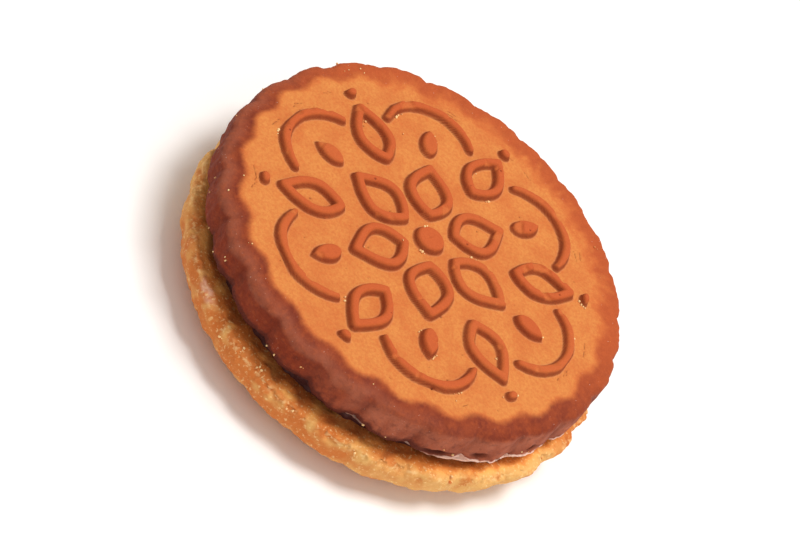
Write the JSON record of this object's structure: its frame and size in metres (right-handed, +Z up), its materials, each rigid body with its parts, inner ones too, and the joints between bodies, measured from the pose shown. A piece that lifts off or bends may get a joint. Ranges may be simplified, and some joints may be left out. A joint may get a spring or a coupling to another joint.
{
  "type": "chocolate sandwich cookie",
  "caption": "Round sandwich cookie: a fluted chocolate biscuit with a raised rosette on a fluted golden biscuit, with a thin cocoa cream between them.",
  "frame": {"origin": "middle of the golden biscuit's lower face, on top of its relief, where the cookie rests", "axes": "+Z up through the stack, from the golden biscuit to the chocolate one; -Y towards the side where the golden biscuit sticks out furthest"},
  "size_m": [0.0602, 0.062, 0.0154],
  "materials": {
    "golden_crumb": "baked golden shortcrust, matt and sandy, browned along its edges and ridges",
    "cocoa_cream": "pale pinkish cocoa cream, soft satin, with a dry ragged edge",
    "chocolate_crumb": "baked milk chocolate crumb, matt and sandy, darker on the shoulder and wall"
  },
  "bodies": {
    "root": {"golden_biscuit": "golden_crumb", "cocoa_cream": "cocoa_cream", "chocolate_biscuit": "chocolate_crumb"}
  },
  "joints": []
}
